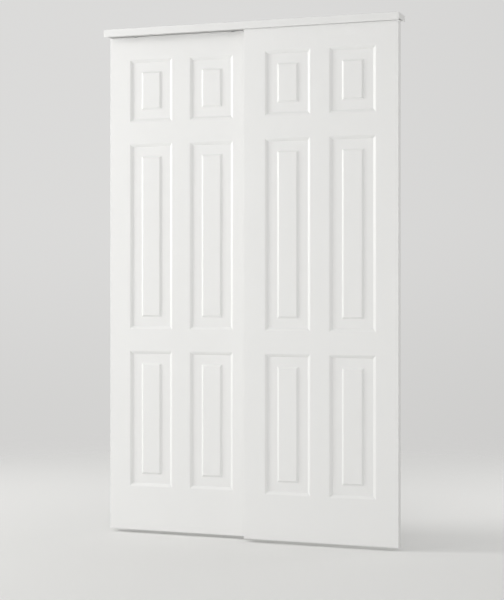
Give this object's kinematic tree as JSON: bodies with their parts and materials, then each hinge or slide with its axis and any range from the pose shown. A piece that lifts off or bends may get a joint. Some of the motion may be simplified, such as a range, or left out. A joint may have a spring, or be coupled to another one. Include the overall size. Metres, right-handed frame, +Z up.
{
  "type": "bypass sliding door",
  "caption": "Pair of white six-panel hollow-core doors that hang on wheels from a double top track behind a slim fascia and slide past each other.",
  "frame": {"origin": "middle of the track's flat top face, where it is screwed up to the head of the opening", "axes": "+X along the opening to the right as seen from the front, +Y from the front into the closet, +Z up"},
  "size_m": [1.219, 0.099, 2.0195],
  "materials": {
    "moulded_skin": "pressed hardboard skin with a smooth white satin paint",
    "door_frame": "softwood stiles and rails, painted white on their open edges",
    "zinc_plate": "zinc plated pressed steel",
    "nylon_wheel": "natural white nylon",
    "steel_axle": "zinc plated steel rivet",
    "track_paint": "aluminium with a white baked paint",
    "fascia_paint": "aluminium with a white baked paint",
    "rail_steel": "bent steel with a white baked paint",
    "cap_plastic": "moulded white plastic"
  },
  "bodies": {
    "header": {"top_track_web": "track_paint", "header_fascia": "fascia_paint", "front_rail": "rail_steel", "back_rail": "rail_steel", "left_end_cap": "cap_plastic", "right_end_cap": "cap_plastic"},
    "front_door": {"front_door_face_skin": "moulded_skin", "front_door_back_skin": "moulded_skin", "front_door_left_stile": "door_frame", "front_door_right_stile": "door_frame", "front_door_top_rail": "door_frame", "front_door_bottom_rail": "door_frame", "front_door_left_hanger_plate": "zinc_plate", "front_door_left_wheel": "nylon_wheel", "front_door_left_axle": "steel_axle", "front_door_right_hanger_plate": "zinc_plate", "front_door_right_wheel": "nylon_wheel", "front_door_right_axle": "steel_axle"},
    "back_door": {"back_door_face_skin": "moulded_skin", "back_door_back_skin": "moulded_skin", "back_door_left_stile": "door_frame", "back_door_right_stile": "door_frame", "back_door_top_rail": "door_frame", "back_door_bottom_rail": "door_frame", "back_door_left_hanger_plate": "zinc_plate", "back_door_left_wheel": "nylon_wheel", "back_door_left_axle": "steel_axle", "back_door_right_hanger_plate": "zinc_plate", "back_door_right_wheel": "nylon_wheel", "back_door_right_axle": "steel_axle"}
  },
  "joints": [
    {"name": "front_door_slide", "type": "slide", "parent": "header", "child": "front_door", "axis": [-1, 0, 0], "range_m": [0, 0.594]},
    {"name": "back_door_slide", "type": "slide", "parent": "header", "child": "back_door", "axis": [1, 0, 0], "range_m": [0, 0.594]}
  ]
}
